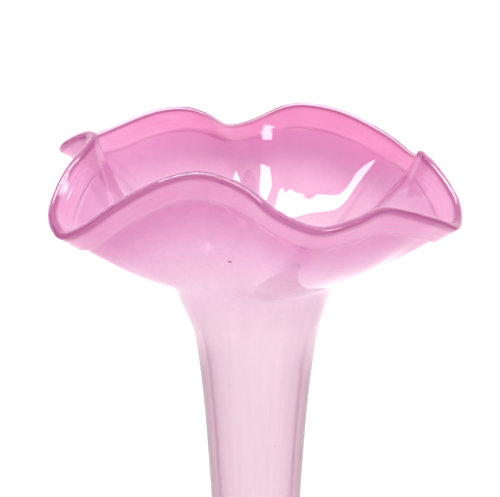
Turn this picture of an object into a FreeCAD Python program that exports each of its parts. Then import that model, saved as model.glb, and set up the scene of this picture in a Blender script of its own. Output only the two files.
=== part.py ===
import FreeCAD, Part
import math
import os

# Trumpet vase of blown cased glass, in millimetres. +Z is up, and the origin is the middle of the
# ground underside of the foot. -Y is the side that faces the viewer.

# Foot: a solid domed disc, ground flat underneath
foot_radius = 52.0
foot_edge = 5.0
foot_height = 21.0
foot_crown_radius = 15.0
foot_grind_chamfer = 0.8

# The foot's rounded edge: its fullest point, in from foot_radius and up, as shares of foot_edge
foot_edge_shares = (0.125, 0.7)

# The foot's slope: share of the way from the crown's radius out to the foot's, and share of the rise
foot_slope_shares = [(0.68, 0.16), (0.32, 0.42), (0.10, 0.74)]

# Merese: the glass wafer that joins the stem to the foot
merese_radius = 17.0
merese_height = 7.0
merese_land_radius = 14.0

# Stem: a slender hollow trumpet that widens all the way up, closed by a rounded floor
stem_length = 190.0
stem_neck_radius = 12.5
throat_radius = 26.9
bore_floor = 15.0
bore_floor_rounding = 7.0
bore_floor_land = 2.5
bore_corner_share = 0.25

# Share of the stem's length, and share of the way from the neck's radius to the throat's
stem_shares = [
    (0.16, 0.13),
    (0.36, 0.32),
    (0.58, 0.51),
    (0.79, 0.67),
    (0.93, 0.86),
]

# Mouth: the throat opens into a shoulder, and the bowl spreads from there to the ruffled lip
throat_rise = 3.1
throat_spread = 0.7
shoulder_radius = 33.8
shoulder_rise = 24.1
shoulder_offset = 1.8
shoulder_tilt = 0.4
lobe_reach = 92.0
lobe_rise = 54.0
ruffle_depth = 32.5
lip_run = 24.0

# Where the bowl leaves the straight line between the shoulder and the lip's run: share of the way
# out along that line, the lift off it as a share of lobe_rise, and how far it goes with the cup
spread_shares = [(0.13, 0.022, 0.0), (0.54, -0.022, 1.0)]

# Cup: on one side the bowl is pushed out, so it runs flat first and then climbs steeply to the lip
cup_angle = 65.0
cup_half_angle = 40.0
cup_depth = 7.0
cup_spread_share = 0.24

# The lip, pulled by hand into six lobes and six crests, once round from the left lobe, seen from above.
# Each row is the angle, the reach and the height as shares of lobe_reach and ruffle_depth, and the
# slope at which the wall arrives there, in degrees above level.
lip_shares = [
    (210, 0.995, 0.09, 34),
    (219, 0.973, 0.26, 40),
    (228, 0.902, 0.60, 55),
    (237, 0.826, 0.86, 72),
    (247, 0.755, 1.00, 82),
    (256, 0.734, 0.99, 82),
    (267, 0.799, 0.89, 72),
    (276, 0.913, 0.66, 58),
    (286, 0.949, 0.48, 52),
    (297, 0.902, 0.49, 62),
    (309, 0.861, 0.54, 72),
    (320, 0.875, 0.41, 62),
    (331, 0.917, 0.22, 43),
    (343, 0.945, 0.03, 33),
    (355, 0.924, 0.19, 37),
    (366, 0.855, 0.46, 58),
    (376, 0.813, 0.60, 68),
    (384, 0.870, 0.52, 50),
    (391, 1.000, 0.28, 24),
    (401, 1.028, 0.27, 16),
    (409, 1.005, 0.49, 34),
    (420, 0.902, 0.80, 57),
    (432, 0.852, 0.91, 63),
    (441, 0.886, 0.83, 56),
    (450, 0.913, 0.62, 28),
    (459, 0.859, 0.57, 18),
    (468, 0.815, 0.79, 38),
    (476, 0.824, 0.90, 54),
    (486, 0.886, 0.85, 58),
    (499, 1.005, 0.60, 42),
    (514, 1.018, 0.54, 14),
    (520, 0.961, 0.69, 36),
    (526, 0.825, 0.90, 62),
    (533, 0.753, 0.95, 72),
    (541, 0.766, 0.89, 70),
    (551, 0.875, 0.63, 48),
    (560, 0.973, 0.26, 34),
]

# Wall: clear glass inside, a thin layer of pink, and clear glass outside
casing_at_stem = 1.9
casing_at_lip = 1.1
colour_wall = 0.3
gather_at_stem = 1.6
gather_at_lip = 0.9

# Lip fold: the edge of the wall, turned out and down while hot and fused to its outside
fold_width = 11.0
fold_seam = 0.05
fold_wall = 1.0
fold_crown = 2.0

# How many columns of points each surface has round the axis
columns = 120

stem_base = foot_height + merese_height
throat_level = stem_base + stem_length
shoulder_level = throat_level + shoulder_rise
lobe_level = throat_level + lobe_rise


def lip_curve():
    """The lip as a smooth curve of the angle in degrees. Its points hold reach, height and slope."""
    wrap = 4
    before = [(angle - 360, *rest) for angle, *rest in lip_shares[-wrap:]]
    after = [(angle + 360, *rest) for angle, *rest in lip_shares[:wrap]]
    rows = before + lip_shares + after
    places = [FreeCAD.Vector(reach * lobe_reach, lobe_level + lift * ruffle_depth, slope)
              for angle, reach, lift, slope in rows]
    curve = Part.BSplineCurve()
    curve.interpolate(Points=places, Parameters=[float(row[0]) for row in rows])
    return curve


def cup_at(angle):
    """How far the cup goes at an angle, smoothly from 0 at its sides to 1 at its middle."""
    side = math.cos(math.radians(cup_half_angle))
    way = max(0.0, (math.cos(math.radians(angle - cup_angle)) - side) / (1 - side))
    return way * way * (3 - 2 * way)


def meridian(angle, lip):
    """Reach and height of the wall's middle at one angle, from the stem's neck up to the lip."""
    first = lip_shares[0][0]
    place = lip.value((angle - first) % 360 + first)
    slope = math.radians(place.z)
    end = (place.x, place.y)
    handle = (end[0] - lip_run * math.cos(slope), end[1] - lip_run * math.sin(slope))

    neck = stem_neck_radius - casing_at_stem - colour_wall / 2
    throat = throat_radius - casing_at_stem - colour_wall / 2
    stem = [(neck + (throat - neck) * swell, stem_base + stem_length * climb)
            for climb, swell in stem_shares]
    opening = [(throat, throat_level), (throat + throat_spread, throat_level + throat_rise)]

    side = math.cos(math.radians(angle))
    shoulder = (shoulder_radius - shoulder_offset * side, shoulder_level + shoulder_tilt * side)
    bowl = []
    for out, lift, pull in spread_shares:
        pulled = pull * cup_at(angle)
        way = out + cup_spread_share * pulled
        bowl.append((shoulder[0] + way * (handle[0] - shoulder[0]),
                     shoulder[1] + way * (handle[1] - shoulder[1]) + lift * lobe_rise - cup_depth * pulled))
    return stem + opening + [shoulder] + bowl + [handle, end]


def wall_rows():
    """The wall's middle as rows of points, one row for each height."""
    lip = lip_curve()
    turns = [360 * i / columns for i in range(columns)]
    profiles = [meridian(turn, lip) for turn in turns]
    rows = []
    for level in range(len(profiles[0])):
        row = []
        for turn, profile in zip(turns, profiles):
            reach, height = profile[level]
            around = math.radians(turn)
            row.append(FreeCAD.Vector(reach * math.cos(around), reach * math.sin(around), height))
        rows.append(row)
    return rows


def outward(rows):
    """Unit directions square to the surface that the rows span, pointing away from the axis."""
    last = len(rows) - 1
    result = []
    for level, row in enumerate(rows):
        below = rows[max(level - 1, 0)]
        above = rows[min(level + 1, last)]
        directions = []
        for i in range(columns):
            around = row[(i + 1) % columns] - row[i - 1]
            along = above[i] - below[i]
            directions.append(around.cross(along).normalize())
        result.append(directions)
    return result


def shifted(row, directions, distance):
    """A row of points moved along their directions."""
    return [point + direction * distance for point, direction in zip(row, directions)]


def wall_distances(at_stem, at_lip, count):
    """A wall's thickness row by row: at_stem up the stem, then thinning evenly to at_lip."""
    straight = len(stem_shares)
    taper = count - 1 - straight
    return [at_stem + (at_lip - at_stem) * max(0, level - straight) / taper for level in range(count)]


def ring_row(radius, height):
    """A level circle of points about the axis."""
    turns = [2 * math.pi * i / columns for i in range(columns)]
    return [FreeCAD.Vector(radius * math.cos(turn), radius * math.sin(turn), height) for turn in turns]


def floor_rows(level, first_row):
    """Rows that close a layer at the bottom of the bore: a small flat, then a rounded corner."""
    wide = math.hypot(first_row[0].x, first_row[0].y)
    narrow = max(bore_floor_land, wide - bore_floor_rounding)
    return [ring_row(bore_floor_land, level),
            ring_row(narrow, level),
            ring_row(wide - bore_corner_share * (wide - narrow),
                     level + bore_corner_share * bore_floor_rounding),
            ring_row(wide, level + bore_floor_rounding)]


def ring_curve(row):
    """A smooth closed curve through one row of points."""
    curve = Part.BSplineCurve()
    curve.interpolate(Points=row, PeriodicFlag=True, Parameters=[float(i) for i in range(columns + 1)])
    return curve


def sheet(rows, degree=3):
    """A smooth closed surface. It passes through the first and last rows and follows the others."""
    rings = [ring_curve(row) for row in rows]
    first = rings[0]
    poles = [[ring.getPole(i + 1) for ring in rings] for i in range(first.NbPoles)]
    spans = len(rows) - degree
    surface = Part.BSplineSurface()
    surface.buildFromPolesMultsKnots(
        poles,
        first.getMultiplicities(), [degree + 1] + [1] * (spans - 1) + [degree + 1],
        first.getKnots(), [float(i) / spans for i in range(spans + 1)],
        True, False, 3, degree)
    return surface


def disc(row):
    """The flat face inside a level row."""
    return Part.Face(Part.Wire(ring_curve(row).toShape()))


def save(name, body):
    """Writes one piece, its normals outwards, and prints whether it is sound."""
    if body.Volume < 0:
        body.reverse()
    print(name, "valid", body.isValid(), "faces", len(body.Faces), "volume", round(body.Volume, 1))
    body.exportStep("parts/" + name + ".step")


def closed(faces):
    """The solid that a closed set of faces bounds."""
    shell = Part.makeShell(faces)
    shell.sewShape()
    return Part.makeSolid(Part.Shell(shell.Faces))


def layer(outer_rows, inner_rows):
    """One layer of the wall: its outer and inner surface, the edge at the lip and the two floors."""
    edge = sheet([inner_rows[-1], outer_rows[-1]], 1)
    return closed([sheet(outer_rows).toShape(), sheet(inner_rows).toShape(), edge.toShape(),
                   disc(outer_rows[0]), disc(inner_rows[0])])


def at(radius, height):
    """A point of a turned profile."""
    return FreeCAD.Vector(radius, 0, height)


def line(start, end):
    """A straight edge of a turned profile."""
    return Part.LineSegment(start, end).toShape()


def turned(profile):
    """A solid turned about the axis from edges that run from the axis out and back to it."""
    face = Part.Face(Part.Wire(profile))
    return face.revolve(FreeCAD.Vector(0, 0, 0), FreeCAD.Vector(0, 0, 1), 360)


os.makedirs("parts", exist_ok=True)

# The four surfaces of the cased wall, from the inside out, as rows of points
wall = wall_rows()
away = outward(wall)
levels = range(len(wall))
casing = wall_distances(casing_at_stem, casing_at_lip, len(wall))
gather = wall_distances(gather_at_stem, gather_at_lip, len(wall))
half_colour = colour_wall / 2

inside = [shifted(wall[i], away[i], -half_colour - gather[i]) for i in levels]
colour_inside = [shifted(wall[i], away[i], -half_colour) for i in levels]
colour_outside = [shifted(wall[i], away[i], half_colour) for i in levels]
outside = [shifted(wall[i], away[i], half_colour + casing[i]) for i in levels]

floor_level = stem_base + bore_floor
colour_top = floor_level - gather_at_stem
colour_bottom = colour_top - colour_wall
inside = floor_rows(floor_level, inside[0]) + inside[1:]
colour_inside = floor_rows(colour_top, colour_inside[0]) + colour_inside[1:]
colour_outside = floor_rows(colour_bottom, colour_outside[0]) + colour_outside[1:]
outside = [ring_row(stem_neck_radius, stem_base)] + outside

# Inner gather: the clear glass that lines the bore and the bowl
save("inner_gather", layer(colour_inside, inside))

# Colour layer: the thin skin of pink glass sealed between the two clear ones
save("colour_layer", layer(colour_outside, colour_inside))

# Outer casing: the clear glass outside, thick at the stem, with the solid plug below the bore
save("outer_casing", layer(outside, colour_outside))


def fold_start(surface):
    """How far up the outside the fold's edge lies, as the surface's own parameter."""
    low, high = 0.0, 1.0
    steps = 30
    up = surface.uIso(0)
    for _ in range(steps):
        middle = (low + high) / 2
        if up.length(middle, 1) > fold_width:
            low = middle
        else:
            high = middle
    return low


def fold_rows(surface):
    """The rows that span the outside from the fold's edge up to the lip."""
    degree = surface.VDegree
    cut = surface.copy()
    cut.insertVKnot(fold_start(surface), degree, 0)
    rows = []
    for level in range(cut.NbVPoles - degree, cut.NbVPoles + 1):
        ring = Part.BSplineCurve()
        poles = [cut.getPole(i + 1, level) for i in range(cut.NbUPoles)]
        ring.buildFromPolesMultsKnots(poles, cut.getUMultiplicities(), cut.getUKnots(), True, degree)
        rows.append([ring.value(float(i)) for i in range(columns)])
    return rows


def band(lower, upper):
    """The straight band between two rings."""
    return sheet([lower, upper], 1).toShape()


# Lip colour: the pink layer of the turned-over edge, which doubles the colour in the hem
covered = fold_rows(sheet(outside))
fold_away = outward(covered)
under = [shifted(row, directions, fold_seam) for row, directions in zip(covered, fold_away)]
over = [shifted(row, directions, colour_wall) for row, directions in zip(under, fold_away)]
save("lip_colour", closed([sheet(under).toShape(), sheet(over).toShape(),
                           band(under[0], over[0]), band(under[-1], over[-1])]))

# Lip fold: the clear glass of the turned-over edge, whose rounded crown closes over the lip
proud = [shifted(row, directions, fold_wall) for row, directions in zip(over, fold_away)]
onward = [(top - below).normalize() for top, below in zip(over[-1], over[-2])]
lip_edge = inside[-1]
crown = [shifted(proud[-1], onward, fold_crown), shifted(lip_edge, onward, fold_crown), lip_edge]
save("lip_fold", closed([sheet(over).toShape(), sheet([over[0]] + proud + crown).toShape(),
                         band(lip_edge, over[-1])]))

# Merese: a round-edged wafer, the width of the stem's end on top and a little wider below
merese_low = at(merese_land_radius, foot_height)
merese_side = at(merese_radius, foot_height + merese_height / 2)
merese_high = at(stem_neck_radius, stem_base)
save("merese", turned([line(at(0, foot_height), merese_low),
                       Part.Arc(merese_low, merese_side, merese_high).toShape(),
                       line(merese_high, at(0, stem_base)),
                       line(at(0, stem_base), at(0, foot_height))]))

# Foot: a disc drawn up into a dome, with a rounded edge, chamfered where its underside is ground
edge_in, edge_up = foot_edge_shares
foot_ground = at(foot_radius - foot_grind_chamfer, 0)
foot_side = at(foot_radius, foot_grind_chamfer)
foot_full = at(foot_radius - edge_in * foot_edge, edge_up * foot_edge)
foot_shoulder = at(foot_radius - foot_edge / 2, foot_edge)
foot_crown = at(foot_crown_radius, foot_height)
foot_slope = Part.BSplineCurve()
foot_slope.interpolate([foot_shoulder]
                       + [at(foot_crown_radius + out * (foot_radius - foot_crown_radius),
                             foot_edge + up * (foot_height - foot_edge)) for out, up in foot_slope_shares]
                       + [foot_crown])
save("foot", turned([line(at(0, 0), foot_ground),
                     line(foot_ground, foot_side),
                     Part.Arc(foot_side, foot_full, foot_shoulder).toShape(),
                     foot_slope.toShape(),
                     line(foot_crown, at(0, foot_height)),
                     line(at(0, foot_height), at(0, 0))]))
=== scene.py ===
import math

import bmesh
import bpy
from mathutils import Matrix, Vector


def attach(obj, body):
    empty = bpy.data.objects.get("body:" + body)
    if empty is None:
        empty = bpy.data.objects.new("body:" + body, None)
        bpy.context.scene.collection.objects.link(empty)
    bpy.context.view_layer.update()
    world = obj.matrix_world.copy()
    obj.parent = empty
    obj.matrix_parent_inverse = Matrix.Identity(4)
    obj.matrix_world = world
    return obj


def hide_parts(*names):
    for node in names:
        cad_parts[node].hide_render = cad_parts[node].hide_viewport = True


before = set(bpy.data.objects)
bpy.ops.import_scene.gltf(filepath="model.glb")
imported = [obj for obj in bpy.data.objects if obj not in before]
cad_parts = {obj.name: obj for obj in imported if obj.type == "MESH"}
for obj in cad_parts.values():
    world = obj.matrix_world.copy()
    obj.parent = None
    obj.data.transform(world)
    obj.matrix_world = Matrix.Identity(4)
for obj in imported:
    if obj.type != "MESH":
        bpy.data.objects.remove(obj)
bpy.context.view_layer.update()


# The glass wall: the stem, the bowl and the folded lip of the vase, in clear glass. It was blown in
# two gathers with the pink sealed between them, and its mouth was pulled with tools into lobes and
# crests while it was soft. The lip was turned out and down, and fused to the outside.

# Each row of the lip is its angle seen from above, its reach and its height as shares of lobe_reach
# and ruffle_depth, and the slope of the wall there, in degrees above level.
lobe_reach = 0.092
lobe_level = 0.272
ruffle_depth = 0.0325
lip_shares = [
    (210, 0.995, 0.09, 34),
    (219, 0.973, 0.26, 40),
    (228, 0.902, 0.60, 55),
    (237, 0.826, 0.86, 72),
    (247, 0.755, 1.00, 82),
    (256, 0.734, 0.99, 82),
    (267, 0.799, 0.89, 72),
    (276, 0.913, 0.66, 58),
    (286, 0.949, 0.48, 52),
    (297, 0.902, 0.49, 62),
    (309, 0.861, 0.54, 72),
    (320, 0.875, 0.41, 62),
    (331, 0.917, 0.22, 43),
    (343, 0.945, 0.03, 33),
    (355, 0.924, 0.19, 37),
    (366, 0.855, 0.46, 58),
    (376, 0.813, 0.60, 68),
    (384, 0.870, 0.52, 50),
    (391, 1.000, 0.28, 24),
    (401, 1.028, 0.27, 16),
    (409, 1.005, 0.49, 34),
    (420, 0.902, 0.80, 57),
    (432, 0.852, 0.91, 63),
    (441, 0.886, 0.83, 56),
    (450, 0.913, 0.62, 28),
    (459, 0.859, 0.57, 18),
    (468, 0.815, 0.79, 38),
    (476, 0.824, 0.90, 54),
    (486, 0.886, 0.85, 58),
    (499, 1.005, 0.60, 42),
    (514, 1.018, 0.54, 14),
    (520, 0.961, 0.69, 36),
    (526, 0.825, 0.90, 62),
    (533, 0.753, 0.95, 72),
    (541, 0.766, 0.89, 70),
    (551, 0.875, 0.63, 48),
    (560, 0.973, 0.26, 34),
]


def lip_ring():
    """The lip as a closed ring of points, with the slope of the wall kept at each."""
    points = []
    for angle, reach, lift, _ in lip_shares:
        around = math.radians(angle)
        points.append((reach * lobe_reach * math.cos(around), reach * lobe_reach * math.sin(around),
                       lobe_level + lift * ruffle_depth))
    count = len(points)
    mesh = bpy.data.meshes.new("lip_ring")
    mesh.from_pydata(points, [(i, (i + 1) % count) for i in range(count)], [])
    slope = mesh.attributes.new("slope", "FLOAT", "POINT")
    slope.data.foreach_set("value", [math.radians(row[3]) for row in lip_shares])
    ring = bpy.data.objects.new("lip_ring", mesh)
    bpy.context.scene.collection.objects.link(ring)
    return ring


# The line of the middle of the pink, from the stem's lower end up to the lip. The stem's points stay
# round the axis, and the bowl's points follow the lip.
stem_base = 0.028
stem_length = 0.190
neck_middle = 0.01045
throat_middle = 0.02485
throat_level = stem_base + stem_length
throat_spread = 0.0007
throat_rise = 0.0031
shoulder_radius = 0.0338
shoulder_level = throat_level + 0.0241
shoulder_offset = 0.0018
shoulder_tilt = 0.0004
lip_run = 0.024
lobe_rise = lobe_level - throat_level
stem_shares = [(0.0, 0.0), (0.16, 0.13), (0.36, 0.32), (0.58, 0.51), (0.79, 0.67), (0.93, 0.86)]
spread_shares = [(0.13, 0.022, 0.0), (0.54, -0.022, 1.0)]
cup_angle = math.radians(65)
cup_half_angle = math.radians(40)
cup_depth = 0.007
cup_spread_share = 0.24
line_order = 4
line_steps = 32


def wall_line():
    """The wall's control points. A point's radius says how far it goes with the lip: 1 is where the
    lip's straight run begins, and 2 its end. Its tilt is 1 where it leans with the shoulder."""
    rows = [(neck_middle + (throat_middle - neck_middle) * swell, stem_base + stem_length * climb, 0.0, 0.0)
            for climb, swell in stem_shares]
    rows += [(throat_middle, throat_level, 0.0, 0.0),
             (throat_middle + throat_spread, throat_level + throat_rise, 0.0, 0.0),
             (shoulder_radius, shoulder_level, 0.0, 1.0)]
    rows += [(shoulder_radius, shoulder_level + lift * lobe_rise, out, 1.0 + pull)
             for out, lift, pull in spread_shares]
    rows += [(shoulder_radius, shoulder_level, 1.0, 1.0), (shoulder_radius, shoulder_level, 2.0, 1.0)]
    curve = bpy.data.curves.new("wall_line", "CURVE")
    curve.dimensions = "3D"
    spline = curve.splines.new("NURBS")
    spline.points.add(len(rows) - 1)
    for point, (reach, height, follow, lean) in zip(spline.points, rows):
        point.co = (reach, 0.0, height, 1.0)
        point.radius = follow
        point.tilt = lean
    spline.order_u = line_order
    spline.use_endpoint_u = True
    spline.resolution_u = line_steps
    line = bpy.data.objects.new("wall_line", curve)
    bpy.context.scene.collection.objects.link(line)
    return line, len(rows)


# The layers of the wall, at the stem and at the lip, and the folded hem. The wall tree measures its
# two sides from the middle of the pink.
casing_at_stem = 0.0019
casing_at_lip = 0.0011
colour_wall = 0.0003
gather_at_stem = 0.0016
gather_at_lip = 0.0009
fold_width = 0.011
fold_seam = 0.00005
fold_wall = 0.001

wall_sizes = {
    "Columns": 240,
    "Line points": 13,
    "Body rows": 90,
    "Step rows": 8,
    "Hem rows": 22,
    "Edge rows": 16,
    "Inside rows": 110,
    "Floor rows": 8,
    "Lip run": lip_run,
    "Shoulder radius": shoulder_radius,
    "Shoulder level": shoulder_level,
    "Shoulder offset": shoulder_offset,
    "Shoulder tilt": shoulder_tilt,
    "Cup angle": cup_angle,
    "Cup half angle": cup_half_angle,
    "Cup depth": cup_depth,
    "Cup spread": cup_spread_share,
    "Outside at stem": casing_at_stem + colour_wall / 2,
    "Outside at lip": casing_at_lip + colour_wall / 2,
    "Inside at stem": gather_at_stem + colour_wall / 2,
    "Inside at lip": gather_at_lip + colour_wall / 2,
    "Taper length": 0.095,
    "Outside length": 1.0,
    "Fold width": fold_width,
    "Short of lip": 0.0,
    "Fold step": 0.0012,
    "Fold thickness": fold_seam + colour_wall + fold_wall,
    "Edge reach": 0.0012,
    "Plug": 1.0,
    "Floor run": 0.0221,
    "Floor rounding": 0.007,
}
lip_steps = 24
weld_distance = 0.000002


class Wire:
    """A socket of a node tree. A sum written on it becomes a Math or Vector Math node."""

    def __init__(self, graph, socket):
        self.graph = graph
        self.socket = socket

    def is_vector(self):
        return self.socket.type in ("VECTOR", "RGBA")

    def joined(self, operation, first, second):
        others = [x for x in (first, second) if isinstance(x, Wire) and x.is_vector()]
        if not others:
            return self.graph.add("ShaderNodeMath", {"operation": operation}, {0: first, 1: second})
        plain = [x for x in (first, second) if not (isinstance(x, Wire) and x.is_vector())]
        if operation == "MULTIPLY" and plain:
            return self.graph.add("ShaderNodeVectorMath", {"operation": "SCALE"},
                                  {0: others[0], "Scale": plain[0]})
        return self.graph.add("ShaderNodeVectorMath", {"operation": operation}, {0: first, 1: second})

    def __add__(self, other):
        return self.joined("ADD", self, other)

    def __radd__(self, other):
        return self.joined("ADD", other, self)

    def __sub__(self, other):
        return self.joined("SUBTRACT", self, other)

    def __rsub__(self, other):
        return self.joined("SUBTRACT", other, self)

    def __mul__(self, other):
        return self.joined("MULTIPLY", self, other)

    def __rmul__(self, other):
        return self.joined("MULTIPLY", other, self)

    def __truediv__(self, other):
        return self.joined("DIVIDE", self, other)

    def __mod__(self, other):
        return self.joined("FLOORED_MODULO", self, other)

    def __lt__(self, other):
        return self.joined("LESS_THAN", self, other)

    def __gt__(self, other):
        return self.joined("GREATER_THAN", self, other)


class Graph:
    """A node tree, with one way to add a node: its type, its settings, then its sockets."""

    def __init__(self, tree):
        self.tree = tree

    def add(self, kind, settings=None, sockets=None, output=0):
        made = self.tree.nodes.new(kind)
        for name, value in (settings or {}).items():
            if name == "stops":
                ramp = made.color_ramp
                while len(ramp.elements) < len(value):
                    ramp.elements.new(1.0)
                for element, (position, colour) in zip(ramp.elements, value):
                    element.position = position
                    element.color = (*colour, 1.0)
            else:
                setattr(made, name, value)
        for name, value in (sockets or {}).items():
            socket = made.inputs[name]
            if isinstance(value, Wire):
                self.tree.links.new(value.socket, socket)
            else:
                socket.default_value = value
        return Wire(self, made.outputs[output]) if made.outputs else None

    def function(self, operation, *values):
        return self.add("ShaderNodeMath", {"operation": operation}, dict(enumerate(values)))

    def share(self, value):
        """The value kept from 0 to 1."""
        return self.add("ShaderNodeClamp", None, {"Value": value})

    def smooth(self, value, low, high):
        """0 below low and 1 above high, with a smooth step between them."""
        return self.add("ShaderNodeMapRange", {"interpolation_type": "SMOOTHSTEP"},
                        {"Value": value, "From Min": low, "From Max": high})

    def vector(self, x, y, z):
        return self.add("ShaderNodeCombineXYZ", None, {0: x, 1: y, 2: z})

    def parts(self, vector):
        node = self.add("ShaderNodeSeparateXYZ", None, {0: vector}).socket.node
        return [Wire(self, socket) for socket in node.outputs]

    def vector_function(self, operation, *values):
        return self.add("ShaderNodeVectorMath", {"operation": operation}, dict(enumerate(values)))

    def mixed(self, factor, first, second, blend="MIX"):
        """Two colours mixed, all first at 0 and all second at 1."""
        return self.add("ShaderNodeMix", {"data_type": "RGBA", "blend_type": blend},
                        {0: factor, 6: first, 7: second}, 2)

    def blended(self, factor, first, second):
        """Two surfaces mixed, all first at 0 and all second at 1."""
        return self.add("ShaderNodeMixShader", None, {0: factor, 1: first, 2: second})


def wall_tree():
    """Nodes that carry the wall's line round the lip and give it its two sides, edge and floor."""
    tree = bpy.data.node_groups.new("ruffled_wall", "GeometryNodeTree")
    tree.interface.new_socket("Geometry", in_out="INPUT", socket_type="NodeSocketGeometry")
    tree.interface.new_socket("Lip", in_out="INPUT", socket_type="NodeSocketObject")
    tree.interface.new_socket("Material", in_out="INPUT", socket_type="NodeSocketMaterial")
    for name, value in wall_sizes.items():
        kind = "NodeSocketInt" if isinstance(value, int) else "NodeSocketFloat"
        tree.interface.new_socket(name, in_out="INPUT", socket_type=kind).default_value = value
    tree.interface.new_socket("Geometry", in_out="OUTPUT", socket_type="NodeSocketGeometry")
    g = Graph(tree)
    group = tree.nodes.new("NodeGroupInput")
    given = {socket.name: Wire(g, socket) for socket in group.outputs}

    # The lip becomes an even ring, one point to each column of the wall.
    ring = g.add("GeometryNodeObjectInfo", {"transform_space": "ORIGINAL"}, {"Object": given["Lip"]},
                 "Geometry")
    ring = g.add("GeometryNodeMeshToCurve", None, {0: ring})
    ring = g.add("GeometryNodeCurveSplineType", {"spline_type": "CATMULL_ROM"}, {0: ring})
    ring = g.add("GeometryNodeSetSplineResolution", None, {0: ring, "Resolution": lip_steps})
    ring = g.add("GeometryNodeResampleCurve", None, {0: ring, "Count": given["Columns"]})

    # The wall's line is set up once for each column, and keeps its own places as an attribute.
    index = g.add("GeometryNodeInputIndex")
    line = g.add("GeometryNodeStoreNamedAttribute", {"data_type": "FLOAT_VECTOR", "domain": "POINT"},
                 {"Geometry": given["Geometry"], "Name": "place",
                  "Value": g.add("GeometryNodeInputPosition")})
    lines = g.add("GeometryNodeInstanceOnPoints", None, {"Points": ring, "Instance": line})
    lines = g.add("GeometryNodeRealizeInstances", None, {0: lines})

    # Each line is bent out to the lip at its column, and leans with the shoulder and the cup.
    column = g.function("FLOOR", index / given["Line points"])
    slope = g.add("GeometryNodeInputNamedAttribute", {"data_type": "FLOAT"}, {"Name": "slope"})
    lip_x, lip_y, lip_z = g.parts(g.add(
        "GeometryNodeSampleIndex", {"data_type": "FLOAT_VECTOR", "domain": "POINT"},
        {"Geometry": ring, "Value": g.add("GeometryNodeInputPosition"), "Index": column}))
    lip_slope = g.add("GeometryNodeSampleIndex", {"data_type": "FLOAT", "domain": "POINT"},
                      {"Geometry": ring, "Value": slope, "Index": column})
    reach = g.function("SQRT", lip_x * lip_x + lip_y * lip_y)
    side_x, side_y = lip_x / reach, lip_y / reach
    toward_cup = (side_x * g.function("COSINE", given["Cup angle"])
                  + side_y * g.function("SINE", given["Cup angle"]))
    cup = g.smooth(toward_cup, g.function("COSINE", given["Cup half angle"]), 1.0)
    handle_reach = reach - given["Lip run"] * g.function("COSINE", lip_slope)
    handle_level = lip_z - given["Lip run"] * g.function("SINE", lip_slope)
    place = g.add("GeometryNodeInputNamedAttribute", {"data_type": "FLOAT_VECTOR"}, {"Name": "place"})
    place_x, _, place_z = g.parts(place)
    follow = g.add("GeometryNodeInputRadius")
    tilt = g.add("GeometryNodeInputCurveTilt")
    lean = g.function("MINIMUM", tilt, 1.0)
    pulled = cup * g.function("MAXIMUM", tilt - 1.0, 0.0)
    along = g.function("MINIMUM", follow, 1.0) + given["Cup spread"] * pulled
    last = g.function("MAXIMUM", follow - 1.0, 0.0)
    shift_out = -1.0 * given["Shoulder offset"] * side_x
    shift_up = given["Shoulder tilt"] * side_x
    new_reach = (place_x + lean * shift_out
                 + along * (handle_reach - given["Shoulder radius"] - shift_out)
                 + last * (reach - handle_reach))
    new_level = (place_z + lean * shift_up - given["Cup depth"] * pulled
                 + along * (handle_level - given["Shoulder level"] - shift_up)
                 + last * (lip_z - handle_level))
    lines = g.add("GeometryNodeSetPosition", None,
                  {"Geometry": lines,
                   "Position": g.vector(new_reach * side_x, new_reach * side_y, new_level)})

    # A grid runs up the outside, over the edge, down the inside and round the bore's floor.
    outside_rows = given["Body rows"] + given["Step rows"] + given["Hem rows"]
    edge_end = outside_rows + given["Edge rows"]
    inside_end = edge_end + given["Inside rows"]
    rows = inside_end + given["Floor rows"] + 3.0
    grid = g.add("GeometryNodeMeshGrid", None, {"Vertices X": given["Columns"] + 1.0, "Vertices Y": rows})
    column = g.function("FLOOR", index / rows)
    row = index - column * rows
    level = row - 1.0
    body = g.share(level / given["Body rows"])
    step = g.share((level - given["Body rows"]) / given["Step rows"])
    hem = g.share((level - given["Body rows"] - given["Step rows"]) / given["Hem rows"])
    turn = g.share((level - outside_rows) / given["Edge rows"]) * math.pi
    inside = g.share((level - edge_end) / given["Inside rows"])
    corner = g.share((level - inside_end) / given["Floor rows"]) * (math.pi / 2)
    bottom = row < 0.5
    middle = row > rows - 1.5

    # How far each row of the grid lies from the lip, measured along its line.
    length = g.add("GeometryNodeSampleIndex", {"data_type": "FLOAT", "domain": "CURVE"},
                   {"Geometry": lines, "Value": g.add("GeometryNodeSplineLength"),
                    "Index": column % given["Columns"]})
    outside_length = g.function("MINIMUM", given["Outside length"], length)
    step_low = given["Fold width"] + given["Fold step"] / 2
    step_high = given["Fold width"] - given["Fold step"] / 2
    climbed = (length - (length - step_low) * body - (step_low - step_high) * step
               - (step_high - given["Short of lip"]) * hem)
    from_lip = g.function("MINIMUM", climbed, outside_length) + inside * (length - given["Floor run"]
                                                                          - given["Short of lip"])
    factor = 1.0 - from_lip / length

    def sampled(which, output):
        return g.add("GeometryNodeSampleCurve", {"mode": "FACTOR", "use_all_curves": False},
                     {"Curves": lines, "Factor": factor, "Curve Index": which % given["Columns"]}, output)

    position = sampled(column, "Position")
    tangent = sampled(column, "Tangent")
    around = (sampled(column + 1.0, "Position") - sampled(column + given["Columns"] - 1.0, "Position"))
    away = g.vector_function("NORMALIZE", g.vector_function("CROSS_PRODUCT", around, tangent))
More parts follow.
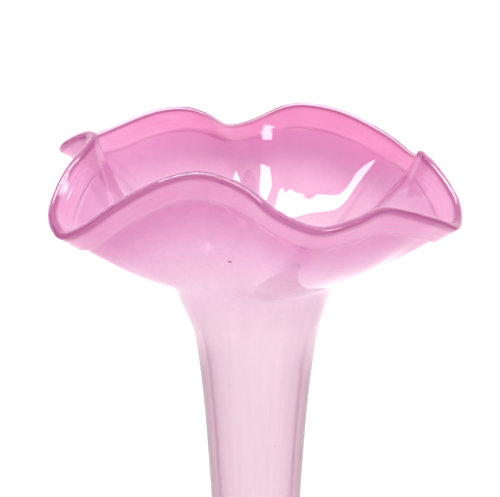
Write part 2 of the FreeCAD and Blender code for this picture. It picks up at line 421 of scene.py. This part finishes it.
    # The row moves off the line by the wall's thickness there, with a half round at the edge.
    taper = g.share(1.0 - from_lip / given["Taper length"])
    fold = given["Fold thickness"] * (1.0 - g.smooth(from_lip, step_high, step_low))
    out = given["Outside at stem"] + (given["Outside at lip"] - given["Outside at stem"]) * taper + fold
    back = -1.0 * (given["Inside at stem"] + (given["Inside at lip"] - given["Inside at stem"]) * taper)
    half_turn = 0.5 - 0.5 * g.function("COSINE", turn)
    distance = out + (back - out) * half_turn
    beyond = given["Edge reach"] * g.function("SINE", turn)
    x, y, z = g.parts(position + away * distance + tangent * beyond)
    wide = g.function("SQRT", x * x + y * y)
    drawn_in = 1.0 - given["Floor rounding"] * (1.0 - g.function("COSINE", corner)) / wide
    flat = drawn_in * (1.0 - middle) * (1.0 - given["Plug"] * bottom)
    z = z - given["Floor rounding"] * g.function("SINE", corner)
    wall = g.add("GeometryNodeSetPosition", None,
                 {"Geometry": grid, "Position": g.vector(x * flat, y * flat, z)})
    # The materials read "flow": the direction of the column round the axis, and the way from the lip.
    lip_place = g.add("GeometryNodeSampleIndex", {"data_type": "FLOAT_VECTOR", "domain": "POINT"},
                      {"Geometry": ring, "Value": g.add("GeometryNodeInputPosition"),
                       "Index": column % given["Columns"]})
    ring_x, ring_y, _ = g.parts(lip_place)
    ring_reach = g.function("SQRT", ring_x * ring_x + ring_y * ring_y)
    wall = g.add("GeometryNodeStoreNamedAttribute", {"data_type": "FLOAT_VECTOR", "domain": "POINT"},
                 {"Geometry": wall, "Name": "flow",
                  "Value": g.vector(ring_x / ring_reach, ring_y / ring_reach, from_lip)})
    wall = g.add("GeometryNodeMergeByDistance", None, {"Geometry": wall, "Distance": weld_distance})
    wall = g.add("GeometryNodeSetShadeSmooth", None, {0: wall})
    wall = g.add("GeometryNodeRealizeInstances", None, {0: wall})
    wall = g.add("GeometryNodeSetMaterial", None, {"Geometry": wall, "Material": given["Material"]})
    end = tree.nodes.new("NodeGroupOutput")
    tree.links.new(wall.socket, end.inputs[0])
    return tree


ruffled_wall = wall_tree()


def wall_piece(name, material, **sizes):
    """One piece of the wall as a plain mesh, made by the ruffled_wall nodes with these sizes."""
    line, count = wall_line()
    ring = lip_ring()
    nodes = line.modifiers.new("ruffled_wall", "NODES")
    nodes.node_group = ruffled_wall
    values = {"Lip": ring, "Material": material, "Line points": count}
    values.update({key.replace("_", " ").capitalize(): value for key, value in sizes.items()})
    for item in ruffled_wall.interface.items_tree:
        if item.in_out == "INPUT" and item.name in values:
            nodes[item.identifier] = values[item.name]
    bpy.context.view_layer.update()
    seen = line.evaluated_get(bpy.context.evaluated_depsgraph_get())
    mesh = bpy.data.meshes.new_from_object(seen)
    mesh.name = name
    bpy.data.objects.remove(line)
    bpy.data.objects.remove(ring)
    piece = bpy.data.objects.new(name, mesh)
    bpy.context.scene.collection.objects.link(piece)
    return piece


def material_graph(name):
    material = bpy.data.materials.new(name)
    material.use_nodes = True
    material.node_tree.nodes.clear()
    return material, Graph(material.node_tree)


def finish_material(graph, surface):
    graph.add("ShaderNodeOutputMaterial", None, {"Surface": surface})


def wall_flow(graph):
    """The direction of a spot of the wall round the axis, and how far it lies from the lip."""
    return graph.parts(graph.add("ShaderNodeAttribute", {"attribute_name": "flow"}, None, "Vector"))


# The glass ripples a little, and fine cords run round its hem. Its colour is darkened where it turns
# edge on: painted shade for the dark room that glass shows at a slant. Its rim has a plum tint. The
# wafer and the foot have no flow, so on_wall is 0 there and 1 on the wall.
ripples_to_a_metre = 55.0
ripple_strength = 0.08
ripple_height = 0.002
cords_round = 9.0
cords_along = 700.0
cord_height = 0.00012
hem_end = (0.0095, 0.0115)
stem_start = (0.085, 0.11)
rim_end = (0.0010, 0.0024)
edge_on_from = 0.5
edge_on_to = 0.85
bowl_from_gain = 0.34
bowl_to_gain = 0.15
untinted = (1.0, 1.0, 1.0, 1.0)
painted_edge_shade_tint = (0.16, 0.10, 0.13, 1.0)
rim_tint = (0.66, 0.44, 0.62, 1.0)
rim_tint_share = 0.9
glass_index = 1.5

clear_glass, g = material_graph("clear_glass")
flow_x, flow_y, from_lip = wall_flow(g)
on_wall = flow_x * flow_x + flow_y * flow_y
coordinates = g.add("ShaderNodeTexCoord", None, None, "Object")
ripple = g.add("ShaderNodeTexNoise", None, {
    "Vector": coordinates, "Scale": ripples_to_a_metre, "Detail": 2.0}, "Fac")
surface = g.add("ShaderNodeBump", None, {
    "Strength": ripple_strength, "Distance": ripple_height, "Height": ripple})
cords = g.add("ShaderNodeTexNoise", None, {
    "Vector": g.vector(flow_x * cords_round, flow_y * cords_round, from_lip * cords_along),
    "Scale": 1.0, "Detail": 2.0}, "Fac")
surface = g.add("ShaderNodeBump", None, {
    "Strength": 1.0, "Distance": cord_height, "Normal": surface,
    "Height": cords * on_wall * (1.0 - g.smooth(from_lip, *hem_end))})
# Painted shade: the glass's colour goes dark grey as it turns edge on, over a wider band in the bowl.
turned_away = g.add("ShaderNodeLayerWeight", None, {"Blend": 0.5}, "Facing")
in_bowl = on_wall * (1.0 - g.smooth(from_lip, *stem_start))
painted_edge_shade = g.smooth(turned_away, edge_on_from + bowl_from_gain * in_bowl, edge_on_to + bowl_to_gain * in_bowl)
at_rim = on_wall * (1.0 - g.smooth(from_lip, *rim_end))
body_tint = g.mixed(painted_edge_shade, untinted, painted_edge_shade_tint)
body_tint = g.mixed(rim_tint_share * at_rim, body_tint, rim_tint, "MULTIPLY")
finish_material(g, g.add("ShaderNodeBsdfPrincipled", None, {
    "Base Color": body_tint, "Roughness": 0.0, "IOR": glass_index, "Transmission Weight": 1.0,
    "Normal": surface}))

glass_wall = wall_piece("glass_wall", clear_glass)
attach(glass_wall, "root")
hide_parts("inner_gather", "outer_casing", "lip_fold")


# The colour skin: the thin layer of pink glass sealed in the wall and doubled in the folded hem. It
# was laid over the first gather while hot, and is rich under the lip and pale down the stem. Here it
# is one sheet, and its thickness is in its material.
pink_length = 0.28
stem_reached = (0.06, 0.10)
# Where the back of the bowl is painted deeper, as painted shade.
shaded_side = math.radians(80)
shaded_spread = (0.25, 0.95)
cloud_depth_share = 0.03
edge_line = (0.0013, 0.0019)
seam_line_start = (0.0102, 0.0106)
seam_line_end = (0.0107, 0.0112)
top_band = (0.0015, 0.0045)
deep_start = (0.10, 0.34)
seam_depth = (0.036, 0.044)
band_end = (0.06, 0.13)
vein_pink = (0.95, 0.28, 0.62, 1.0)
light_vein_pink = (1.0, 0.80, 0.92, 1.0)
slant_lilac = (0.56, 0.34, 0.47, 1.0)
edge_plum = (0.62, 0.18, 0.42, 1.0)
thinnest_facing = 0.25
fold_middle = casing_at_lip + fold_seam + colour_wall
fold_reach = 0.0106
skin_edge_reach = 0.0008
skin_short_of_lip = 0.0012
skin_floor_run = 0.0204

pink_glass, g = material_graph("pink_glass")
flow_x, flow_y, from_lip = wall_flow(g)
depth = from_lip / pink_length
facing = g.add("ShaderNodeLayerWeight", None, {"Blend": 0.5}, "Facing")


def grain(around, along, detail, roughness=0.5):
    """Noise drawn out along or round the glass: how many grains to a turn, and to a metre up the wall."""
    place = g.vector(flow_x * around, flow_y * around, from_lip * along)
    return g.add("ShaderNodeTexNoise", None, {"Vector": place, "Scale": 1.0, "Detail": detail,
                                              "Roughness": roughness}, "Fac")


def ramp(stops, value):
    """A colour that goes from stop to stop as the value grows."""
    return g.add("ShaderNodeValToRGB", {"stops": stops}, {"Fac": value}, "Color")


def glows(colour):
    """Milky glass that scatters light through to its other side."""
    return g.add("ShaderNodeBsdfTranslucent", None, {"Color": (*colour, 1.0)})


def clears(colour):
    """Clear glass of one colour, which lets light straight through."""
    return g.add("ShaderNodeBsdfTransparent", None, {"Color": (*colour, 1.0)})


# The pink is painted richer round the back of the bowl, where the photo shows it deeper. That depth was
# chosen, and it is painted shade: the inside of the back wall is drawn darker than the front.
in_hem = 1.0 - g.smooth(from_lip, *hem_end)
in_stem = g.smooth(from_lip, *stem_reached)
streak = (grain(7.0, 800.0, 3.0) * in_hem + grain(24.0, 400.0, 5.0, 0.65) * (1.0 - in_hem) * (1.0 - in_stem)
          + grain(5.0, 12.0, 3.0) * in_stem)
cloud = grain(3.0, 30.0, 2.0)
rear_painted_shade = g.smooth(flow_x * math.cos(shaded_side) + flow_y * math.sin(shaded_side), *shaded_spread)
mottled = depth + cloud_depth_share * (cloud - 0.5)
pale_pink = ramp([
    (0.0, (1.0, 0.77, 0.93)), (0.036, (1.0, 0.77, 0.93)), (0.044, (0.86, 0.28, 0.64)),
    (0.085, (0.95, 0.48, 0.78)), (0.13, (0.98, 0.62, 0.86)), (0.22, (0.99, 0.78, 0.93)),
    (0.32, (0.82, 0.49, 0.66)), (1.0, (0.73, 0.49, 0.60))], mottled)
# The colours at the back of the bowl: the pink with painted shade, darkest below the seam.
rich_pink_with_painted_shade = ramp([
    (0.0, (0.99, 0.50, 0.76)), (0.036, (0.99, 0.50, 0.76)), (0.044, (0.78, 0.19, 0.50)),
    (0.085, (0.57, 0.17, 0.39)), (0.13, (0.90, 0.45, 0.67)), (0.22, (0.96, 0.62, 0.83)),
    (0.32, (0.82, 0.49, 0.66)), (1.0, (0.73, 0.49, 0.60))], mottled)

# The colour from the lip down: a plum line on the edge, which is painted shade for the dark line along
# the rim, veins round the hem and a dark seam line.
# The stem looks lilac where it is seen at a slant, through more of the pink.
# Painted shade: the pink's top edge is drawn plum and made denser.
painted_rim_line = 1.0 - g.smooth(from_lip, *edge_line)
at_seam = g.smooth(from_lip, *seam_line_start) * (1.0 - g.smooth(from_lip, *seam_line_end))
at_top = 1.0 - g.smooth(from_lip, *top_band)
vein = g.smooth(streak, 0.48, 0.66) * in_hem
light_vein = (1.0 - g.smooth(streak, 0.30, 0.46)) * in_hem
slant = g.smooth(facing, 0.05, 0.45) * g.smooth(from_lip, *stem_start)
colour = g.mixed(g.share(0.5 * vein + 0.2 * at_top), g.mixed(rear_painted_shade, pale_pink, rich_pink_with_painted_shade), vein_pink)
colour = g.mixed(0.6 * light_vein, colour, light_vein_pink)
colour = g.mixed(0.45 * slant, colour, slant_lilac)
colour = g.mixed(g.share(0.85 * painted_rim_line + 0.5 * at_seam), colour, edge_plum)
solid = g.add("ShaderNodeBsdfPrincipled", None, {
    "Base Color": colour, "Roughness": 1.0, "Specular IOR Level": 0.0})

# Light passes through the milky part and the clear part. Both are darkest just below the seam, where
# shade under the hem is painted in, more at the back of the bowl.
deep = g.smooth(depth, *deep_start)
painted_shade_below_seam = g.smooth(depth, *seam_depth) * (1.0 - g.smooth(depth, *band_end))
through = g.blended(rear_painted_shade, glows((0.99, 0.64, 0.84)), glows((0.96, 0.36, 0.66)))
through = g.blended(deep, through, glows((0.86, 0.59, 0.74)))
through = g.blended(painted_shade_below_seam * (0.45 + 0.5 * rear_painted_shade), through, glows((0.74, 0.17, 0.48)))
milky = g.blended(0.5, solid, through)
open_glass = g.blended(deep, clears((0.98, 0.62, 0.86)), clears((0.98, 0.89, 0.93)))
open_glass = g.blended(painted_shade_below_seam * (0.4 + 0.5 * rear_painted_shade), open_glass, clears((0.84, 0.30, 0.62)))
open_glass = g.blended(0.95 * slant, open_glass, clears((0.62, 0.34, 0.50)))

# How much of the light the pink catches grows with its thickness and with the slant of the view.
thickness = ramp([
    (0.0, (0.65, 0.65, 0.65)), (0.036, (0.65, 0.65, 0.65)), (0.044, (1.0, 1.0, 1.0)),
    (0.13, (0.95, 0.95, 0.95)), (0.22, (0.7, 0.7, 0.7)), (0.32, (0.30, 0.30, 0.30)),
    (1.0, (0.26, 0.26, 0.26))], depth)
thickness = (g.parts(thickness)[0] * (0.9 + 0.9 * streak + 2.0 * painted_rim_line + at_seam)
             / g.function("MAXIMUM", 1.0 - facing, thinnest_facing))
caught = 1.0 - g.function("EXPONENT", -1.0 * thickness)
finish_material(g, g.blended(caught, open_glass, milky))

colour_skin = wall_piece("colour_skin", pink_glass, body_rows=1, step_rows=1, hem_rows=26, edge_rows=8,
                         outside_length=fold_reach, fold_thickness=0.0, outside_at_stem=fold_middle,
                         outside_at_lip=fold_middle, inside_at_stem=0.0, inside_at_lip=0.0,
                         edge_reach=skin_edge_reach, plug=0.0, floor_run=skin_floor_run,
                         short_of_lip=skin_short_of_lip)
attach(colour_skin, "root")
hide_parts("colour_layer", "lip_colour")


# The ash grains: four dark specks, most likely ash from the furnace, that were caught in the clear
# outer glass while it was hot. Each row is a speck's angle and height on the wall, half its length
# and half its height.
grains = [
    (258.54, 0.2649, 0.0008, 0.00045),
    (299.46, 0.2663, 0.00025, 0.00022),
    (241.29, 0.2002, 0.00036, 0.00028),
    (292.64, 0.1717, 0.00032, 0.00024),
]
grain_depth = 0.0006
sight_distance = 0.2
ash_marks_to_a_metre = 3000.0
ash_dark = (0.10, 0.02, 0.05)
ash_light = (0.22, 0.07, 0.13)

ash_grain, g = material_graph("ash_grain")
mark = g.add("ShaderNodeTexNoise", None, {
    "Vector": g.add("ShaderNodeTexCoord", None, None, "Object"), "Scale": ash_marks_to_a_metre,
    "Detail": 2.0}, "Fac")
brown = ramp([(0.3, ash_dark), (0.7, ash_light)], mark)
finish_material(g, g.add("ShaderNodeBsdfPrincipled", None, {"Base Color": brown, "Roughness": 0.6}))

mesh = bpy.data.meshes.new("ash_grains")
shape = bmesh.new()
for turn, height, half_length, half_height in grains:
    side = Vector((math.cos(math.radians(turn)), math.sin(math.radians(turn)), 0.0))
    _, place, square, _ = glass_wall.ray_cast(side * sight_distance + Vector((0.0, 0.0, height)), -side)
    along = Vector((-side.y, side.x, 0.0))
    up = square.cross(along)
    lump = bmesh.ops.create_icosphere(shape, subdivisions=2, radius=1.0)["verts"]
    for vertex in lump:
        x, y, z = vertex.co
        vertex.co = (place - grain_depth * square + along * (x * half_length) + square * (y * half_height)
                     + up * (z * half_height))
bmesh.ops.recalc_face_normals(shape, faces=shape.faces)
shape.to_mesh(mesh)
shape.free()
mesh.shade_smooth()
mesh.materials.append(ash_grain)
ash_grains = bpy.data.objects.new("ash_grains", mesh)
bpy.context.scene.collection.objects.link(ash_grains)
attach(ash_grains, "root")


# The merese: a wafer of clear glass between the stem and the foot. It was dropped hot onto the end of
# the stem and squeezed flat, and the stem and the foot are both fused to it.
def rounded(points, steps):
    """A smooth line through these points, steps to a gap."""
    first = [2 * a - b for a, b in zip(points[0], points[1])]
    last = [2 * a - b for a, b in zip(points[-1], points[-2])]
    knots = [first, *points, last]
    line = []
    for i in range(1, len(knots) - 2):
        for j in range(steps):
            t = j / steps
            line.append(tuple(0.5 * (2 * b + (c - a) * t + (2 * a - 5 * b + 4 * c - d) * t ** 2
                                     + (3 * b - a - 3 * c + d) * t ** 3)
                              for a, b, c, d in zip(*knots[i - 1:i + 3])))
    return line + [tuple(points[-1])]


def turned_piece(name, outline, material, around=192):
    """A round piece: its outline of reach and height runs up from axis to axis, and goes all round."""
    inner = outline[1:-1]
    points = [(0.0, 0.0, outline[0][1])]
    turns = [2 * math.pi * i / around for i in range(around)]
    for reach, height in inner:
        points += [(reach * math.cos(turn), reach * math.sin(turn), height) for turn in turns]
    points.append((0.0, 0.0, outline[-1][1]))
    faces = [(0, 1 + (i + 1) % around, 1 + i) for i in range(around)]
    for row in range(len(inner) - 1):
        low = 1 + row * around
        faces += [(low + i, low + (i + 1) % around, low + around + (i + 1) % around, low + around + i)
                  for i in range(around)]
    top = 1 + (len(inner) - 1) * around
    faces += [(top + i, top + (i + 1) % around, len(points) - 1) for i in range(around)]
    mesh = bpy.data.meshes.new(name)
    mesh.from_pydata(points, [], faces)
    mesh.shade_smooth()
    mesh.materials.append(material)
    piece = bpy.data.objects.new(name, mesh)
    bpy.context.scene.collection.objects.link(piece)
    return piece


merese_radius = 0.017
merese_land = 0.014
merese_low = 0.021
neck_radius = 0.0125
inner_ring = 0.006
wafer = rounded([(merese_land, merese_low), (0.0166, 0.0229), (merese_radius, 0.0243), (0.0160, 0.0263),
                 (neck_radius, stem_base)], 8)
merese_piece = turned_piece("merese_wafer", [(0.0, merese_low), (inner_ring, merese_low), *wafer,
                                             (inner_ring, stem_base), (0.0, stem_base)], clear_glass)
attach(merese_piece, "root")
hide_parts("merese")


# The foot: a solid disc of clear glass, domed towards the middle and ground flat underneath. It was
# gathered onto the merese and shaped with a paddle, and its crown is fused to the merese.
foot_radius = 0.052
foot_edge = 0.005
foot_height = 0.021
foot_chamfer = 0.0008
crown_radius = 0.015
underside_ring = 0.02
foot_edge_shares = (0.125, 0.7)
foot_slope_shares = [(0.68, 0.16), (0.32, 0.42), (0.10, 0.74)]
slope = rounded([(foot_radius - foot_edge / 2, foot_edge)]
                + [(crown_radius + out * (foot_radius - crown_radius),
                    foot_edge + up * (foot_height - foot_edge)) for out, up in foot_slope_shares]
                + [(crown_radius, foot_height)], 10)
edge_in, edge_up = foot_edge_shares
edge = rounded([(foot_radius, foot_chamfer), (foot_radius - edge_in * foot_edge, edge_up * foot_edge),
                slope[0]], 6)
foot_piece = turned_piece("domed_foot", [(0.0, 0.0), (underside_ring, 0.0),
                                         (foot_radius - foot_chamfer, 0.0), *edge, *slope[1:],
                                         (inner_ring, foot_height), (0.0, foot_height)], clear_glass)
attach(foot_piece, "root")
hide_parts("foot")


# The floor and the room: a plain pale floor under the foot, which takes the vase's shadow, in a plain
# white room that is a little lighter in front. Neither is part of the vase.
floor_half = 8.0
floor_drop = 0.0002
floor_paint = (0.84, 0.84, 0.835, 1.0)
floor_white = (1.0, 1.0, 0.995, 1.0)
floor_glow = 0.2
room_level = 1.3
front_gain = 0.4
front_spread = (-0.2, 0.6)

floor_material, g = material_graph("floor")
path = g.add("ShaderNodeLightPath", None, None, "Is Camera Ray").socket.node
seen = g.share(Wire(g, path.outputs["Is Camera Ray"]) + Wire(g, path.outputs["Is Glossy Ray"])
               + Wire(g, path.outputs["Is Transmission Ray"]))
lit = g.add("ShaderNodeBsdfDiffuse", None, {"Color": floor_paint})
glow = g.add("ShaderNodeEmission", None, {"Color": floor_white, "Strength": floor_glow * seen})
finish_material(g, g.add("ShaderNodeAddShader", None, {0: lit, 1: glow}))
floor_mesh = bpy.data.meshes.new("floor")
floor_mesh.from_pydata([(-floor_half, -floor_half, 0), (floor_half, -floor_half, 0),
                        (floor_half, floor_half, 0), (-floor_half, floor_half, 0)], [], [(0, 1, 2, 3)])
floor = bpy.data.objects.new("floor", floor_mesh)
floor.location.z = -floor_drop
bpy.context.scene.collection.objects.link(floor)
floor_mesh.materials.append(floor_material)

world = bpy.data.worlds.new("studio")
world.use_nodes = True
world.node_tree.nodes.clear()
bpy.context.scene.world = world
g = Graph(world.node_tree)
_, toward_back, _ = g.parts(g.add("ShaderNodeTexCoord", None, None, "Generated"))
level = room_level + front_gain * g.smooth(-1.0 * toward_back, *front_spread)
sky = g.add("ShaderNodeBackground", None, {"Color": (1.0, 1.0, 1.0, 1.0), "Strength": level})
g.add("ShaderNodeOutputWorld", None, {"Surface": sky})


# The lamps and cards: two soft lamps that make the white highlights, and two dark cloths that darken
# the reflections at the sides. Each is a piece of a ball round the mouth, and shows in reflections
# only. None of them is part of the vase.
hung_centre = Vector((0.0, 0.0, 0.27))
hung_steps = 12
lamp_distance = 1.0
card_distance = 0.5
lamp_strength = 14.0
lamp_soft_edge = 0.1
card_dark = (0.12, 0.11, 0.12, 1.0)


def hung(name, turn, low, high, away, material):
    """A cloth bent round the vase, between two compass angles from straight behind. Its lower edge
    rises and falls as the list low says, in equal steps of angle, and its upper edge is level."""
    mesh = bpy.data.meshes.new(name)
    points = []
    for i in range(hung_steps + 1):
        around = math.radians(turn[0] + (turn[1] - turn[0]) * i / hung_steps)
        gap = min(int(i * (len(low) - 1) / hung_steps), len(low) - 2)
        share = i * (len(low) - 1) / hung_steps - gap
        bottom = low[gap] + (low[gap + 1] - low[gap]) * share
        for j in range(hung_steps + 1):
            rise = math.radians(bottom + (high - bottom) * j / hung_steps)
            side = Vector((math.sin(around) * math.cos(rise), math.cos(around) * math.cos(rise),
                           math.sin(rise)))
            points.append(hung_centre + away * side)
    faces = []
    for i in range(hung_steps):
        for j in range(hung_steps):
            first = i * (hung_steps + 1) + j
            faces.append((first, first + 1, first + hung_steps + 2, first + hung_steps + 1))
    mesh.from_pydata(points, [], faces)
    spread = mesh.uv_layers.new(name="spread")
    for loop in mesh.loops:
        i, j = divmod(loop.vertex_index, hung_steps + 1)
        spread.data[loop.index].uv = (i / hung_steps, j / hung_steps)
    mesh.materials.append(material)
    cloth = bpy.data.objects.new(name, mesh)
    bpy.context.scene.collection.objects.link(cloth)
    cloth.visible_camera = False
    cloth.visible_diffuse = False
    cloth.visible_shadow = False
    cloth.visible_transmission = False


softbox_light, g = material_graph("softbox_light")
across, along, _ = g.parts(g.add("ShaderNodeUVMap", {"uv_map": "spread"}))
inset = g.function("MINIMUM", g.function("MINIMUM", across, 1.0 - across),
                   g.function("MINIMUM", along, 1.0 - along))
finish_material(g, g.add("ShaderNodeEmission", None, {
    "Strength": lamp_strength * g.smooth(inset, 0.0, lamp_soft_edge)}))
hung("soft_box", (204, 292), (69, 66, 56, 55, 55), 88, lamp_distance, softbox_light)
hung("side_box", (95, 123), (31, 31), 50, lamp_distance, softbox_light)

card, g = material_graph("dark_card")
finish_material(g, g.add("ShaderNodeBsdfDiffuse", None, {"Color": card_dark}))
hung("card_left", (-125, -55), (-25, -25), 30, card_distance, card)
hung("card_right", (55, 125), (-25, -25), 30, card_distance, card)


# The camera stands a little above the mouth and looks down at it with a long lens. The vase runs out
# of the lower edge of the picture.
camera_rise = math.radians(16.5)
camera_distance = 0.9
camera_target = Vector((-0.00258, 0.0, 0.2549))
camera_data = bpy.data.cameras.new("camera")
camera_data.sensor_width = 36.0
camera_data.lens = 150.7
camera_data.clip_start = 0.01
camera_data.clip_end = 50.0
camera = bpy.data.objects.new("camera", camera_data)
bpy.context.scene.collection.objects.link(camera)
back = Vector((0.0, -math.cos(camera_rise), math.sin(camera_rise)))
camera.location = camera_target + camera_distance * back
camera.rotation_euler = (-back).to_track_quat("-Z", "Y").to_euler()
bpy.context.scene.camera = camera
bpy.context.scene.view_settings.view_transform = "Standard"
